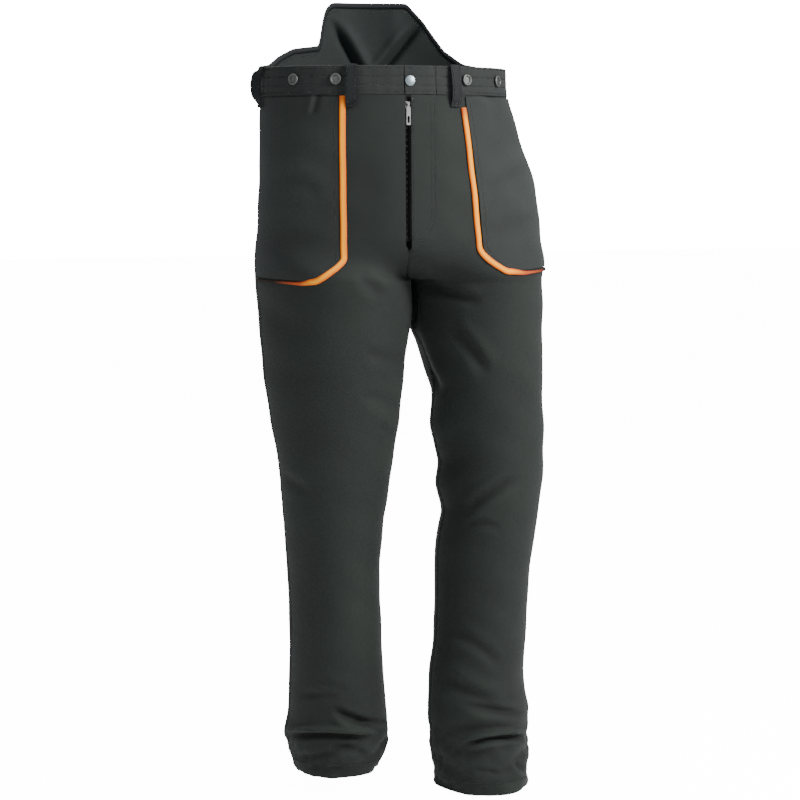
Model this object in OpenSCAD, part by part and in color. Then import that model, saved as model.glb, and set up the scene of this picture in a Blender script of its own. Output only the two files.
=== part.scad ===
/* [Waist] */
// Half width of the waist opening
waist_w = 179; // [165:1:210]
// Half depth of the waist opening
waist_d = 130; // [115:1:150]
// Height of the waistband
band_h = 40; // [32:1:50]
// Height of the raised back above the waistband
rise_h = 101; // [80:1:120]

/* [Legs] */
// Height where the leg tubes begin below the waist
fork_z = -325; // [-335:1:-315]
// Hem height of the right leg
hem_right = -1030; // [-1040:1:-1000]
// Hem height of the left leg
hem_left = -1054; // [-1070:1:-1030]
// Thickness of the cut-protection pads
pad_t = 6; // [4:0.5:8]
// Thickness of the outer cloth
cloth_t = 1.6; // [1.2:0.1:2]

/* [Belt loops] */
// Width of a belt loop
loop_w = 16; // [10:1:20]
// Clear gap for the belt
loop_gap = 3.8; // [3:0.1:3.9]

/* [Hardware] */
// Diameter of the brace buttons
button_d = 16; // [14:0.5:18]
// Diameter of the press stud cap
cap_d = 14; // [12:0.5:18]

/* [Hidden] */
$fn = 64;
right = -1;
left = 1;
front = -1;
back = 1;
// Sections of the seat: height, centre x, centre y, half width, half depth
SEAT = [[10, 0, 0, waist_w, waist_d], [0, 0, 0, waist_w, waist_d], [-40, 0, 0, waist_w + 1.5, waist_d + 3],
  [-100, 9, 0, 191, 140.1], [-170, 18.3, -3, 204.7, 145.3], [-250, 18.6, -9, 210, 148.8],
  [-300, 19.7, -10, 212.6, 144], [-345, 20, -10, 210, 135]];
// Sections of the legs: height, centre x, centre y, half width, half depth
LEG_R = [[-200, -80.8, -10, 110, 146], [-300, -80.8, -10, 110, 137], [-360, -77, -10, 109, 123],
  [-410, -79.9, -12, 103.5, 112], [-470, -78.7, -13, 97.7, 103], [-570, -79.1, -13, 81.5, 91],
  [-650, -80.4, -9, 72.5, 84], [-726, -79.4, -4, 66.8, 80], [-816, -75, 2, 67.6, 78], [-883, -72, 6, 69.6, 78],
  [-940, -69.6, 8, 72.6, 77], [-975, -70.8, 9, 76.5, 76], [-998, -71, 8, 74, 74], [-1010, -72, 7, 69, 71],
  [-1034, -72, 6, 56, 64], [-1100, -72, 6, 54, 62]];
LEG_L = [[-200, 130.4, -10, 99, 146], [-300, 130.4, -10, 99, 137], [-360, 133, -14, 98, 124],
  [-410, 140.9, -20, 88, 116], [-470, 146.5, -30, 80.7, 106], [-520, 148.7, -35, 79.7, 100],
  [-575, 149.8, -40, 77.5, 94], [-650, 146.5, -47, 71.5, 86], [-726, 138, -50, 69.5, 81],
  [-816, 134, -52, 67.4, 78], [-883, 126.9, -54, 69.3, 77], [-950, 129.5, -55, 74.6, 77],
  [-990, 132.5, -55, 73, 76], [-1054, 134.5, -55, 69, 74], [-1100, 134.5, -55, 69, 74]];
fork_top = -235;
crotch_z = -300;
thigh_top = fork_z - 131;
knee_top = -532;
knee_end = -668;
// Fly line: straight run of the zip down the front
fly_x = -3;
fly_y0 = -133;
fly_slope = 0.112;
fly_lean = 0.026;
fly_tilt = atan(fly_slope);

function smooth(t) = t * t * (3 - 2 * t);
function at(T, z, i = 0) = z >= T[i + 1][0] || i == len(T) - 2
  ? let (f = (T[i][0] - z) / (T[i][0] - T[i + 1][0])) [for (k = [1:4]) T[i][k] * (1 - f) + T[i + 1][k] * f]
  : at(T, z, i + 1);
function soft_at(T, z) = (at(T, z - 14) + at(T, z) * 2 + at(T, z + 14)) / 4;
function leg(s, z) = soft_at(s < 0 ? LEG_R : LEG_L, z);
function fork(v) = v >= fork_top ? 0 : v <= crotch_z ? 1 : 1 - cos(90 * (fork_top - v) / (fork_top - crotch_z));
function inner_z(v) = v >= fork_top || v <= crotch_z ? v
  : fork_top + (crotch_z - fork_top) * sin(90 * (fork_top - v) / (fork_top - crotch_z));
// Middle line of the front, which leans with the fly
function mid_x(z) = fly_x - fly_lean * min(210, max(0, -40 - z));
function seam_angle(s, e, z) = acos(s * (mid_x(z) - e[0]) / e[2]);
// Point of the outer face: side s, front or back f, u from the side seam inwards, v the height
function skin(s, f, u, v) = let (w = fork(v), e = soft_at(SEAT, min(v, 9.9)), g = leg(s, min(v, -250)),
    m = seam_angle(s, e, v), q = [e[0] + s * e[2] * cos(m * u), e[1] + f * e[3] * sin(m * u)],
    h = [g[0] + s * g[2] * cos(180 * u), g[1] + f * g[3] * sin(180 * u)], swell = f * 52 * w * (1 - w) * sin(180 * u))
  [q[0] * (1 - w) + h[0] * w, q[1] * (1 - w) + h[1] * w + swell, v + (inner_z(v) - v) * u * u];
function unit(a) = a / norm(a);
function out_of(s, f, u, v) = s * f * unit(cross(skin(s, f, u + 0.01, v) - skin(s, f, u - 0.01, v),
  skin(s, f, u, v + 2) - skin(s, f, u, v - 2)));
function lift(s, f, u, v, o) = skin(s, f, u, v) + out_of(s, f, u, v) * o;
function steps(a, b, n) = [for (i = [0:n]) a + (b - a) * i / n];

// Closed solid between two grids of points
module solid(O, I, flip = false, ring = false) {
  nr = len(O);
  nc = len(O[0]);
  k = nr * nc;
  cl = ring ? nc - 1 : nc - 2;
  quads = [
    for (r = [0:nr - 2], c = [0:cl]) let (c1 = (c + 1) % nc)
      [r * nc + c, r * nc + c1, (r + 1) * nc + c1, (r + 1) * nc + c],
    for (r = [0:nr - 2], c = [0:cl]) let (c1 = (c + 1) % nc)
      [k + (r + 1) * nc + c, k + (r + 1) * nc + c1, k + r * nc + c1, k + r * nc + c],
    for (c = [0:cl]) let (c1 = (c + 1) % nc) [c1, c, k + c, k + c1],
    for (c = [0:cl]) let (c1 = (c + 1) % nc, b = (nr - 1) * nc) [b + c, b + c1, k + b + c1, k + b + c],
    if (!ring) for (r = [0:nr - 2]) [r * nc, (r + 1) * nc, k + (r + 1) * nc, k + r * nc],
    if (!ring) for (r = [0:nr - 2]) let (a = nc - 1)
      [(r + 1) * nc + a, r * nc + a, k + r * nc + a, k + (r + 1) * nc + a]];
  tris = [for (q = quads) each [[q[0], q[1], q[2]], [q[0], q[2], q[3]]]];
  polyhedron([for (r = O) each r, for (r = I) each r],
    flip ? tris : [for (t = tris) [t[0], t[2], t[1]]], convexity = 8);
}
// Cloth patch of one quarter, with its u limits given by height
module patch(s, f, ua, ub, vs, oo, oi, n) {
  grid = function (o) [for (v = vs) let (a = ua(v), b = ub(v)) [for (i = [0:n]) lift(s, f, a + (b - a) * i / n, v, o)]];
  solid(grid(oo), grid(oi), flip = s * f > 0);
}
// Closed sleeve of one leg
module sleeve(s, vs, oo, oi, n) {
  grid = function (o) [for (v = vs) [for (i = [0:2 * n - 1])
    i <= n ? lift(s, front, i / n, v, o) : lift(s, back, 2 - i / n, v, o)]];
  solid(grid(oo), grid(oi), flip = s < 0, ring = true);
}
edge0 = function (v) 0.0012;
edge1 = function (v) 0.9988;

/* Waistband */
band_out = 1.4;
band_in = -2.6;
module band(a0, a1, n) {
  grid = function (o) [for (z = [0, -20, -band_h]) let (e = soft_at(SEAT, z)) [for (i = [0:n])
    let (a = a0 + (a1 - a0) * i / n) [e[0] + (e[2] + o) * cos(a), e[1] + (e[3] + o) * sin(a), z]]];
  solid(grid(band_out), grid(band_in), flip = true);
}
tab_a0 = 267.5;
tab_a1 = 282;
module waistband_right() {
  color("darkslategray") {
    band(180.15, 267.1, 30);
    fly_grid(-13, -6.6, 0, -band_h, -2, -8.5, 2);
    fly_grid(-13, 27, 0, -band_h, -6.5, -8.5, 6);
  }
}
module waistband_main() {
  color("darkslategray") band(282.35, 539.85, 78);
}
module waistband_tab() {
  color("darkslategray") band(tab_a0, tab_a1, 6);
}

/* Raised back */
RISE = [[-171, 3], [-155, 6], [-134, 20], [-110, 31], [-65, 37], [-62, 62], [-58, 84], [-50, 97], [-41, rise_h],
  [71, rise_h], [94, 75], [122, 31], [146, 10], [171, 3]];
function rise_at(x, i = 0) = x <= RISE[i + 1][0] || i == len(RISE) - 2
  ? RISE[i][1] + (RISE[i + 1][1] - RISE[i][1]) * (x - RISE[i][0]) / (RISE[i + 1][0] - RISE[i][0])
  : rise_at(x, i + 1);
function rise_pt(a, h, o) = [(waist_w + o) * cos(a), (waist_d + o) * sin(a) + h * 0.03, h];
rise_angles = [18, 24, 30, 36, 41, 46, 51, 56, 60, 63, 66, 72, 78, 84, 90, 96, 99, 102, 104.5, 107, 108.8,
  110.6, 113, 118, 124, 130, 137, 144, 151, 158, 162];
module rise(oo, oi, cut) {
  grid = function (o) [for (t = [1, 0.75, 0.5, 0.25, 0]) [for (a = rise_angles)
    rise_pt(a, 0.4 + (rise_at(waist_w * cos(a)) - cut - 0.4) * t, o)]];
  solid(grid(oo), grid(oi), flip = true);
}
module back_rise_outer() {
  color("darkslategray") rise(0, -1.8, 2);
}
module back_rise_lining() {
  color("black") rise(-2.1, -3.1, 2);
}
module back_rise_binding() {
  grid = function (o) [for (t = [0, -1.7]) [for (a = rise_angles)
    rise_pt(a, rise_at(waist_w * cos(a)) + t, o)]];
  color("black") solid(grid(0.6), grid(-3.6), flip = true);
}

/* Belt loops */
module at_waist(x, f, z, o = 0) {
  e = soft_at(SEAT, z);
  y = e[1] + f * e[3] * sqrt(1 - pow((x - e[0]) / e[2], 2));
  turn = atan2((y - e[1]) / (e[3] * e[3]), (x - e[0]) / (e[2] * e[2]));
  translate([x, y, z]) rotate([0, 0, turn + 90]) rotate([-4.2, 0, 0]) translate([0, -o, 0]) children();
}
module belt_loop(x, f) {
  color("black") at_waist(x, f, 0, band_out + 0.6) rotate([-1.3, 0, 0]) difference() {
    translate([-loop_w / 2, -loop_gap - 1.4, -57]) cube([loop_w, loop_gap + 1.4, 58.5]);
    translate([-loop_w / 2 - 1, -loop_gap, -54]) cube([loop_w + 2, loop_gap + 1, 53.5]);
  }
}
module belt_loop_front_right() {
  belt_loop(-79.5, front);
}
module belt_loop_front_left() {
  belt_loop(66, front);
}
module belt_loop_side_right() {
  belt_loop(-178.5, front);
}
module belt_loop_side_left() {
  belt_loop(177, back);
}
module belt_loop_back() {
  belt_loop(0, back);
}

/* Seat and hips */
top_v = -band_h - 0.4;
front_vs = concat([top_v, -70, -100, -135, -170, -205, fork_top], [for (i = [1:6]) fork_top - 65 * i / 6],
  [-312, fork_z]);
left_u = function (v) let (e = soft_at(SEAT, v))
  v > -245 ? acos((mid_x(v) + 9.4 - e[0]) / e[2]) / seam_angle(left, e, v) : 0.9988;
right_u = function (v) let (e = soft_at(SEAT, v))
  v > -245 ? acos((e[0] - mid_x(v) + 4.2) / e[2]) / seam_angle(right, e, v) : 0.9988;
module front_panel_right() {
  color("darkslategray") patch(right, front, edge0, right_u, front_vs, 0, -cloth_t, 24);
}
module front_panel_left() {
  color("darkslategray") patch(left, front, edge0, left_u, front_vs, 0, -cloth_t, 24);
}
module seat_panel(s) {
  color("darkslategray") patch(s, back, edge0, edge1, front_vs, 0, -cloth_t, 24);
}
module seat_panel_right() {
  seat_panel(right);
}
module seat_panel_left() {
  seat_panel(left);
}
// Inner edge of the pocket: x at each height, straight down and then out to its bottom corner
function corner_v(s) = s < 0 ? -261 : -249;
function edge_x(s, v) = (s < 0 ? -92 - 4 * (-v - 45) / 210 : 79.5 + 15 * (-v - 58) / 170)
  + s * 36 * pow(max(0, (corner_v(s) - v) / 33), 1.3);
// u at which the front face reaches x, found in k steps
function near_u(s, x, v, u, k) = k == 0 ? u : near_u(s, x, v, u + (x - skin(s, front, u, v)[0]) * 0.02
  / (skin(s, front, u + 0.01, v)[0] - skin(s, front, u - 0.01, v)[0]), k - 1);
function pocket_u(s, v) = near_u(s, edge_x(s, v), v, 0.6, 5);
function pocket_vs(s) = concat([-44, -75, -110, -145, -180, -215], [for (i = [0:5]) corner_v(s) + 6 - i * 8]);
module pocket_panel(s) {
  color("slategray") patch(s, front, function (v) 0.02, function (v) pocket_u(s, v) - 0.018, pocket_vs(s), 2.4, 1, 12);
}
module pocket_panel_right() {
  pocket_panel(right);
}
module pocket_panel_left() {
  pocket_panel(left);
}
module pocket_piping(s) {
  mid = [for (v = pocket_vs(s)) [pocket_u(s, v), v]];
  low_v = corner_v(s) - 38;
  low = [for (t = [0.14, 0.28, 0.42, 0.56, 0.7, 0.85, 1]) [mid[11][0] * (1 - t) + 0.02 * t, low_v]];
  way = concat(mid, low);
  grid = function (o) [for (i = [0:len(way) - 1]) let (w = i > 10)
    [w ? lift(s, front, way[i][0], low_v - 3, o) : lift(s, front, way[i][0] + 0.016, way[i][1], o),
     w ? lift(s, front, way[i][0] - (i == 11 ? 0.012 : 0), low_v + 2.8, o) : lift(s, front, way[i][0] - 0.013, way[i][1], o)]];
  color("orange") solid(grid(3.8), grid(1.2), flip = s > 0);
}
module pocket_piping_right() {
  pocket_piping(right);
}
module pocket_piping_left() {
  pocket_piping(left);
}
module pocket_bag(s) {
  color("black") patch(s, front, function (v) 0.05, function (v) pocket_u(s, v) - 0.06,
    [-46, -90, -140, -190, -240], -2.9, -3.7, 12);
}
module pocket_bag_right() {
  pocket_bag(right);
}
module pocket_bag_left() {
  pocket_bag(left);
}

/* Fly */
module fly_grid(x0, x1, za, zb, oo, oi, n, round_end = false) {
  grid = function (o) [for (z = steps(za, zb, 8)) let (e = soft_at(SEAT, z),
    t = (z - za) / (zb - za), cut = round_end && t > 0.7 ? (x1 - x0 - 8) * pow((t - 0.7) / 0.3, 3) : 0)
    [for (xs = steps(x0, x1 - cut, n)) let (x = xs + mid_x(z)) [x, e[1] - (e[3] + o) * sqrt(1 - pow((x - e[0]) / (e[2] + o), 2)), z]]];
  solid(grid(oo), grid(oi), flip = true);
}
module fly_flap() {
  color("darkslategray") fly_grid(3.6, 41, -band_h - 0.4, -247, 2.2, 0.6, 8, true);
}
module fly_shield() {
  color("black") fly_grid(-20, 28, -43, -240, -8.2, -9.2, 6);
}
// Local frame of the zip, origin on the front face under the waistband
module on_zip(d) {
  translate([fly_x, fly_y0, -40]) rotate([-fly_tilt, atan(fly_lean), 0]) translate([0, 1, -d]) children();
}
module zip_tape_right() {
  color("black") on_zip(0) translate([-9.5, 3.5, -200]) cube([7, 0.6, 196]);
}
module zip_tape_left() {
  color("black") on_zip(0) translate([2.5, 3.1, -200]) cube([11, 0.8, 196]);
}
module zip_teeth() {
  color("silver") on_zip(0) for (i = [0:43]) translate([i % 2 == 0 ? -2.3 : 0.5, 2.6, -198 + i * 4.2])
    cube([1.8, 1.8, 2.6]);
}
module zip_stops() {
  color("silver") on_zip(0) {
    translate([-2.3, 3.2, -201.8]) cube([4.6, 1.6, 3]);
    translate([-2.3, 2.6, -6.4]) cube([1.8, 1.8, 3]);
    translate([0.5, 2.6, -6.4]) cube([1.8, 1.8, 3]);
  }
}
module zip_slider() {
  color("silver") on_zip(9) {
    translate([-3.8, 1.1, -10]) cube([7.6, 1.1, 10]);
    translate([-3.8, 4.8, -10]) cube([7.6, 1.1, 10]);
    translate([-3.8, 1.1, -10]) cube([1, 1.6, 10]);
    translate([2.8, 1.1, -10]) cube([1, 1.6, 10]);
    translate([-3.8, 4.3, -10]) cube([1, 1.5, 10]);
    translate([2.8, 4.3, -10]) cube([1, 1.5, 10]);
    translate([-0.2, 1.4, -3]) cube([0.4, 4, 3]);
    for (x = [-2.2, 1.2]) translate([x, -1.6, -4.4]) cube([1, 2.9, 3.4]);
    translate([-2.2, -0.8, -2.7]) rotate([0, 90, 0]) cylinder(h = 4.4, d = 1, $fn = 24);
  }
}
module zip_puller() {
  color("silver") on_zip(9) difference() {
    union() {
      translate([-0.8, -0.8, -2.7]) rotate([0, 90, 0]) cylinder(h = 1.6, d = 2.8, $fn = 32);
      translate([-0.8, -2.2, -9]) cube([1.6, 1.4, 6.3]);
      translate([-3, -2.2, -33]) cube([6, 1.4, 25]);
    }
    translate([-2, -0.8, -2.7]) rotate([0, 90, 0]) cylinder(h = 4, d = 1.7, $fn = 32);
    translate([-1.6, -3, -30]) cube([3.2, 3, 9]);
  }
}

/* Buttons and press stud */
BUTTON_XS = [-150, -100, 86, 143];
module brace_buttons() {
  color("silver") for (x = BUTTON_XS) at_waist(x, front, -19, band_out + 0.6) rotate([90, 0, 0]) {
    translate([0, 0, 1.6]) rotate_extrude() translate([button_d / 2 - 1.6, 0]) circle(r = 1.6, $fn = 32);
    cylinder(h = 1.2, d = button_d - 3);
  }
}
module brace_button_tacks() {
  color("silver") for (x = BUTTON_XS) at_waist(x, front, -19, band_in - 0.6) rotate([-90, 0, 0])
    cylinder(h = 1, d = 8);
}
stud_x = -0.6;
module stud_cap() {
  color("lightsteelblue") at_waist(stud_x, front, -21, band_out + 0.5) rotate([90, 0, 0]) intersection() {
    translate([0, 0, -15.5]) sphere(d = 36, $fn = 96);
    cylinder(h = 3, d = cap_d);
  }
}
module stud_socket() {
  color("silver") at_waist(stud_x, front, -21, band_in - 0.4) rotate([-90, 0, 0]) difference() {
    cylinder(h = 2, d = 11);
    translate([0, 0, 0.6]) cylinder(h = 2, d = 6.6);
  }
}
module stud_base() {
  color("silver") at_waist(stud_x, front, -21, band_in - 2.6) rotate([-90, 0, 0]) {
    cylinder(h = 1, d = 10);
    translate([0, 0, -1.4]) cylinder(h = 1.4, d = 5.6);
  }
}
module stud_post() {
  color("silver") at_waist(stud_x, front, -21, band_in - 6.2) rotate([-90, 0, 0]) cylinder(h = 1, d = 9);
}

/* Legs */
module thigh_sleeve(s) {
  color("darkslategray") sleeve(s, steps(fork_z - 0.5, thigh_top + 0.5, 6), 0, -cloth_t, 14);
}
module thigh_front(s) {
  color("darkslategray") patch(s, front, edge0, edge1, steps(thigh_top, knee_top, 3), 0, -cloth_t, 14);
}
module thigh_back(s) {
  color("darkslategray") patch(s, back, edge0, edge1, steps(thigh_top, knee_top, 3), 0, -cloth_t, 14);
}
module thigh_pad(s) {
  color("gold") patch(s, front, function (v) 0.01, function (v) 0.99, steps(thigh_top - 1, knee_top + 1, 3),
    -cloth_t - 0.9, -cloth_t - 0.9 - pad_t, 14);
}
module thigh_lining(s) {
  color("black") sleeve(s, steps(thigh_top - 1, knee_top + 1, 3), -cloth_t - pad_t - 2.1, -cloth_t - pad_t - 2.9, 16);
}
module knee_sleeve(s) {
  color("darkslategray") sleeve(s, steps(knee_top - 0.5, knee_end + 0.5, 6), 0, -cloth_t, 14);
}
function hem_z(s) = s < 0 ? hem_right : hem_left;
module shin_front(s) {
  color("darkslategray") patch(s, front, edge0, edge1, steps(knee_end, hem_z(s) + 22.4, 10), 0, -cloth_t, 14);
}
module shin_back(s) {
  color("darkslategray") patch(s, back, edge0, edge1, steps(knee_end, hem_z(s) + 22.4, 10), 0, -cloth_t, 14);
}
module shin_pad(s) {
  color("gold") patch(s, front, function (v) 0.01, function (v) 0.99, steps(knee_end - 1, hem_z(s) + 60, 9),
    -cloth_t - 0.9, -cloth_t - 0.9 - pad_t, 14);
}
module shin_lining(s) {
  color("black") sleeve(s, steps(knee_end - 1, hem_z(s) + 30, 9), -cloth_t - pad_t - 2.1, -cloth_t - pad_t - 2.9, 16);
}
module cuff(s) {
  color("darkslategray") sleeve(s, steps(hem_z(s) + 22, hem_z(s), 2), 0, -2.6, 14);
}
module thigh_sleeve_right() {
  thigh_sleeve(right);
}
module thigh_front_right() {
  thigh_front(right);
}
module thigh_back_right() {
  thigh_back(right);
}
module thigh_pad_right() {
  thigh_pad(right);
}
module thigh_lining_right() {
  thigh_lining(right);
}
module knee_sleeve_right() {
  knee_sleeve(right);
}
module shin_front_right() {
  shin_front(right);
}
module shin_back_right() {
  shin_back(right);
}
module shin_pad_right() {
  shin_pad(right);
}
module shin_lining_right() {
  shin_lining(right);
}
module hem_right_cuff() {
  cuff(right);
}
module thigh_sleeve_left() {
  thigh_sleeve(left);
}
module thigh_front_left() {
  thigh_front(left);
}
module thigh_back_left() {
  thigh_back(left);
}
module thigh_pad_left() {
  thigh_pad(left);
}
module thigh_lining_left() {
  thigh_lining(left);
}
module knee_sleeve_left() {
  knee_sleeve(left);
}
module shin_front_left() {
  shin_front(left);
}
module shin_back_left() {
  shin_back(left);
}
module shin_pad_left() {
  shin_pad(left);
}
module shin_lining_left() {
  shin_lining(left);
}
module hem_left_cuff() {
  cuff(left);
}

waistband_right();
waistband_main();
waistband_tab();
back_rise_outer();
back_rise_lining();
back_rise_binding();
belt_loop_front_right();
belt_loop_front_left();
belt_loop_side_right();
belt_loop_side_left();
belt_loop_back();
front_panel_right();
front_panel_left();
seat_panel_right();
seat_panel_left();
pocket_panel_right();
pocket_panel_left();
pocket_piping_right();
pocket_piping_left();
pocket_bag_right();
pocket_bag_left();
fly_shield();
fly_flap();
zip_tape_right();
zip_tape_left();
zip_teeth();
zip_stops();
zip_slider();
zip_puller();
brace_buttons();
brace_button_tacks();
stud_cap();
stud_socket();
stud_base();
stud_post();
thigh_sleeve_right();
thigh_front_right();
thigh_back_right();
thigh_pad_right();
thigh_lining_right();
knee_sleeve_right();
shin_front_right();
shin_back_right();
shin_pad_right();
shin_lining_right();
hem_right_cuff();
thigh_sleeve_left();
thigh_front_left();
thigh_back_left();
thigh_pad_left();
thigh_lining_left();
knee_sleeve_left();
shin_front_left();
shin_back_left();
shin_pad_left();
shin_lining_left();
hem_left_cuff();
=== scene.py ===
"""Chainsaw protective trousers: cloth panels, pads, piping, stitching and hardware round the fixed frame."""
import math

import bpy
import numpy as np
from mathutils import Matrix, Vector


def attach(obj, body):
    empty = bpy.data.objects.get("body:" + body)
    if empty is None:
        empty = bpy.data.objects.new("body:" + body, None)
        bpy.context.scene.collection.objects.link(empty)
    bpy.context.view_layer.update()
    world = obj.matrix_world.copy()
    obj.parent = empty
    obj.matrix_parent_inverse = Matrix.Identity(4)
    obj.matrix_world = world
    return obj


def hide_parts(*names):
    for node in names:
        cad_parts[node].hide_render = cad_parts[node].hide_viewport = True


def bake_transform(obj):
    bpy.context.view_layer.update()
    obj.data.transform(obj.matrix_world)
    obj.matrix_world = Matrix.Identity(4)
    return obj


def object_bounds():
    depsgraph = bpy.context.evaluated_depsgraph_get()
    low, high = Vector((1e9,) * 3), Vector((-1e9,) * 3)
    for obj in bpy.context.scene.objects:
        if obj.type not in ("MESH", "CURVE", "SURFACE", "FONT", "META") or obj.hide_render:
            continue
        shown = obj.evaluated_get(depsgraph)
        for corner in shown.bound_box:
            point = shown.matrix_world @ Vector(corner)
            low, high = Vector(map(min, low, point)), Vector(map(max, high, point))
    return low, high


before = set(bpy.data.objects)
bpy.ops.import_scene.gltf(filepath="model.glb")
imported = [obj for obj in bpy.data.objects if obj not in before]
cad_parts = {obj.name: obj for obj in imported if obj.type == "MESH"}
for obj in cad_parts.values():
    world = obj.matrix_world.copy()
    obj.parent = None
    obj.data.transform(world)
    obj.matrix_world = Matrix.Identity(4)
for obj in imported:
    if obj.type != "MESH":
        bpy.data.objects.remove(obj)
cad_box = [list(corner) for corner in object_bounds()]

MM = 0.001
RIGHT, LEFT = -1, 1
FRONT, BACK = -1, 1
GRID = 3.2  # spacing of the cloth mesh, in millimetres
INSIDE_GRID = 6.0                  # spacing of the hidden layers
CLOTH, PAD = 1.6, 6.0              # thickness of the outer cloth and of a pad
BAND_H = 40.0                      # height of the waistband
BAND_OUT, BAND_IN = 1.4, -2.6      # faces of the waistband, from the body line
TOP = -BAND_H - 0.4                # where the panels start
FORK = -330.0                      # split between the seat and the legs
KNEE = -528.0                      # split between the upper and the lower leg
HEM = {RIGHT: -1030.0, LEFT: -1054.0}
SIDE_NAME = {RIGHT: "right", LEFT: "left"}

# Cross-sections: height, centre x, centre y, half width, half depth
SEAT = [
    (10, 0, 0, 179, 130), (0, 0, 0, 179, 130), (-40, 0, 0, 180.5, 133), (-100, 9, 0, 191, 140.1),
    (-170, 18.3, -3, 204.7, 145.3), (-250, 18.6, -9, 210, 148.8), (-300, 19.7, -10, 212.6, 144),
    (-345, 20, -10, 210, 135),
]
LEG = {
    RIGHT: [
        (-200, -80.8, -10, 110, 146), (-300, -80.8, -10, 110, 137), (-360, -77, -10, 109, 123),
        (-410, -79.9, -12, 103.5, 112), (-470, -78.7, -13, 97.7, 103), (-570, -79.1, -13, 81.5, 91),
        (-650, -80.4, -9, 72.5, 84), (-726, -79.4, -4, 66.8, 80), (-816, -75, 2, 67.6, 78),
        (-883, -72, 6, 69.6, 78), (-940, -69.6, 8, 72.6, 77), (-975, -70.8, 9, 76.5, 76),
        (-998, -71, 8, 74, 74), (-1010, -72, 7, 69, 71), (-1034, -72, 6, 56, 64), (-1100, -72, 6, 54, 62),
    ],
    LEFT: [
        (-200, 130.4, -10, 99, 146), (-300, 130.4, -10, 99, 137), (-360, 133, -14, 98, 124),
        (-410, 140.9, -20, 88, 116), (-470, 146.5, -30, 80.7, 106), (-520, 148.7, -35, 79.7, 100),
        (-575, 149.8, -40, 77.5, 94), (-650, 146.5, -47, 71.5, 86), (-726, 138, -50, 69.5, 81),
        (-816, 134, -52, 67.4, 78), (-883, 126.9, -54, 69.3, 77), (-950, 129.5, -55, 74.6, 77),
        (-990, 132.5, -55, 73, 76), (-1054, 134.5, -55, 69, 74), (-1100, 134.5, -55, 69, 74),
    ],
}
FORK_TOP, CROTCH = -235.0, -300.0


# ---------------------------------------------------------------- camera
AIM = Vector((0.0225, -0.0067, -0.481))
AZIMUTH, ELEVATION, DISTANCE = math.radians(-16.5), math.radians(7.0), 3.0
TO_CAMERA = Vector((math.sin(AZIMUTH) * math.cos(ELEVATION), -math.cos(AZIMUTH) * math.cos(ELEVATION),
                    math.sin(ELEVATION)))


def make_camera():
    """The camera at the front, a little to the wearer's right."""
    data = bpy.data.cameras.new("camera")
    data.lens = 91.8
    camera = bpy.data.objects.new("camera", data)
    bpy.context.scene.collection.objects.link(camera)
    camera.location = AIM + TO_CAMERA * DISTANCE
    camera.rotation_mode = "QUATERNION"
    camera.rotation_quaternion = (-TO_CAMERA).to_track_quat("-Z", "Y")
    bpy.context.scene.camera = camera


make_camera()


# ---------------------------------------------------------------- body line
def section(table, z):
    """Centre and half sizes of the cross-section at each height, eased over 28 mm."""
    rows = np.array(table, float)[::-1]
    return [sum(w * np.interp(z + dz, rows[:, 0], rows[:, k]) for dz, w in ((-14, .25), (0, .5), (14, .25)))
            for k in range(1, 5)]


def mid_x(z):
    """Middle line of the front, which leans with the fly."""
    return -3 - 0.026 * np.clip(-40 - z, 0, 210)


def seam_angle(s, cx, half, z):
    """Angle from the side seam to the middle line round the seat."""
    return np.arccos(s * (mid_x(z) - cx) / half)


def fork_share(v):
    """0 on the seat, 1 on the leg tubes, and an eased step between."""
    t = np.clip((FORK_TOP - v) / (FORK_TOP - CROTCH), 0, 1)
    return 1 - np.cos(t * np.pi / 2)


def inner_z(v):
    """Height of the middle seam where it runs down and under the crotch."""
    t = np.clip((FORK_TOP - v) / (FORK_TOP - CROTCH), 0, 1)
    return np.where((t > 0) & (t < 1), FORK_TOP + (CROTCH - FORK_TOP) * np.sin(t * np.pi / 2), v)


def skin(s, f, u, v):
    """Body line of one quarter: u runs from the side seam to the middle seam, v is the height."""
    w = fork_share(v)
    cx, cy, ex, ey = section(SEAT, np.minimum(v, 9.9))
    gx, gy, hx, hy = section(LEG[s], np.minimum(v, -250))
    m = seam_angle(s, cx, ex, v) * u
    turn = np.pi * u
    x = (cx + s * ex * np.cos(m)) * (1 - w) + (gx + s * hx * np.cos(turn)) * w
    y = (cy + f * ey * np.sin(m)) * (1 - w) + (gy + f * hy * np.sin(turn)) * w
    y = y + f * 52 * w * (1 - w) * np.sin(turn)
    near = np.clip(1 - np.abs(v - CROTCH) / 45, 0, 1) * np.clip(u, 0, 1) ** 8
    x = x - s * 1.1 * near  # closes the two halves on the middle seam
    return np.stack([x, y, v + (inner_z(v) - v) * u * u], -1)


def half_girth(s, v):
    """Length of cloth from the side seam to the middle seam."""
    w = fork_share(v)
    cx, _, ex, ey = section(SEAT, np.minimum(v, 9.9))
    _, _, hx, hy = section(LEG[s], np.minimum(v, -250))
    return seam_angle(s, cx, ex, v) * (ex + ey) / 2 * (1 - w) + np.pi * (hx + hy) / 2 * w


def unit(a):
    """Vectors at length one."""
    return a / np.maximum(np.linalg.norm(a, axis=-1, keepdims=True), 1e-9)


def path_lengths(points):
    """Length along a path at each of its points."""
    return np.concatenate([[0], np.cumsum(np.linalg.norm(np.diff(points, axis=0), axis=1))])


def grid_area(points):
    """Area of a grid of points, in square metres."""
    quads = np.cross(points[1:, 1:] - points[:-1, :-1], points[:-1, 1:] - points[1:, :-1])
    return float(np.linalg.norm(quads, axis=-1).sum() / 2) * MM * MM


def softened(line):
    """A row of numbers smoothed three times, with its ends kept."""
    for _ in range(3):
        line[1:-1] = (line[:-2] + 2 * line[1:-1] + line[2:]) / 4
    return line


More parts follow.
